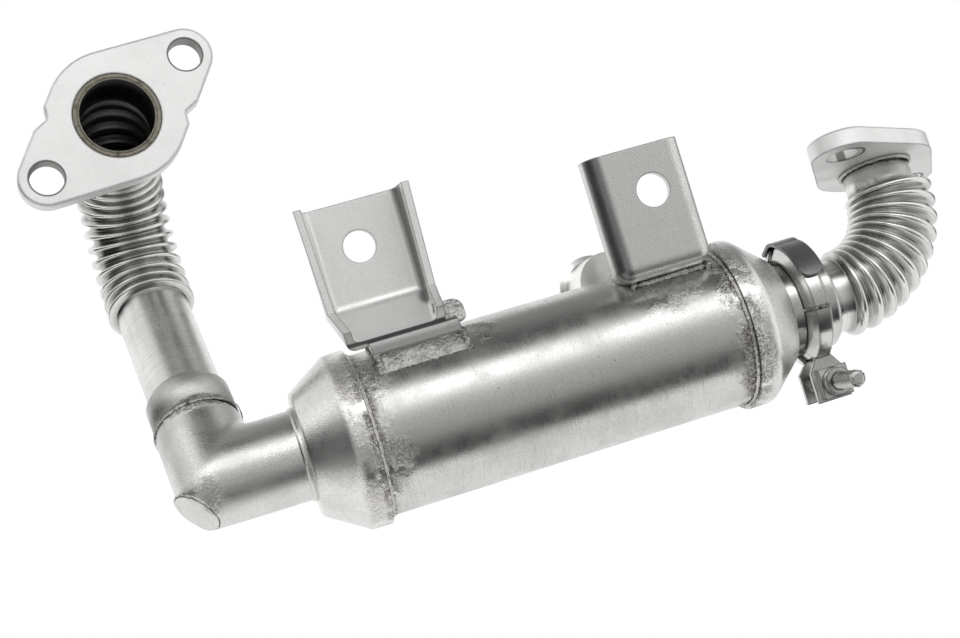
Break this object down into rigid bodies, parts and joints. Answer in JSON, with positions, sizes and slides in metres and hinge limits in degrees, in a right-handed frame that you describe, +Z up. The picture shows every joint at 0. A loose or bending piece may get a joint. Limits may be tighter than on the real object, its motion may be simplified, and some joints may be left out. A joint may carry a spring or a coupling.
{
  "type": "egr cooler",
  "caption": "Exhaust gas recirculation cooler: a round shell with cone ends, sheet brackets, and corrugated gas pipes with flanges, one held by a V-band clamp.",
  "frame": {"origin": "centre of the left bracket's hole, on the rear face of its plate", "axes": "+X along the shell towards the outlet, +Y to the back, +Z up"},
  "size_m": [0.316, 0.0988, 0.1809],
  "materials": {
    "shell_steel": "satin rolled stainless, heat tinted beside the welds",
    "formed_steel": "matt blasted stainless pressing",
    "tube_steel": "satin drawn stainless tube",
    "flange_steel": "bright fine-ground stainless plate",
    "bracket_steel": "satin stainless sheet",
    "clamp_steel": "glossy stainless strip",
    "strap_steel": "dark spring strip",
    "bolt_steel": "zinc plated bolt and nut",
    "weld_metal": "rough heat-tinted weld bead",
    "seal_steel": "plain steel seal",
    "inner_steel": "plain stainless"
  },
  "bodies": {
    "root": {"cooler_shell": "shell_steel", "inlet_end_cone": "formed_steel", "inlet_seam_weld": "weld_metal", "outlet_end_cone": "formed_steel", "outlet_seam_weld": "weld_metal", "gas_elbow": "formed_steel", "elbow_plug": "formed_steel", "elbow_weld": "weld_metal", "inlet_bellows_pipe": "tube_steel", "inlet_flange": "flange_steel", "inlet_flange_weld": "weld_metal", "outlet_bellows_pipe": "tube_steel", "outlet_flange": "flange_steel", "outlet_flange_weld": "weld_metal", "outlet_collar_weld": "weld_metal", "cooler_v_flange": "tube_steel", "pipe_v_flange": "tube_steel", "seal_ring": "seal_steel", "clamp_upper_segment": "clamp_steel", "clamp_lower_segment": "clamp_steel", "clamp_rear_segment": "clamp_steel", "clamp_strap": "strap_steel", "clamp_bolt": "bolt_steel", "clamp_nut": "bolt_steel", "left_bracket": "bracket_steel", "left_bracket_weld": "weld_metal", "right_bracket": "bracket_steel", "right_bracket_weld": "weld_metal", "coolant_top_pipe": "tube_steel", "coolant_rear_pipe": "tube_steel", "inlet_header_plate": "inner_steel", "outlet_header_plate": "inner_steel", "baffle_1": "inner_steel", "baffle_2": "inner_steel", "gas_tube_1": "inner_steel", "gas_tube_2": "inner_steel", "gas_tube_3": "inner_steel", "gas_tube_4": "inner_steel", "gas_tube_5": "inner_steel", "gas_tube_6": "inner_steel", "gas_tube_7": "inner_steel", "gas_tube_8": "inner_steel", "gas_tube_9": "inner_steel", "gas_tube_10": "inner_steel", "gas_tube_11": "inner_steel", "gas_tube_12": "inner_steel", "gas_tube_13": "inner_steel"}
  },
  "joints": []
}
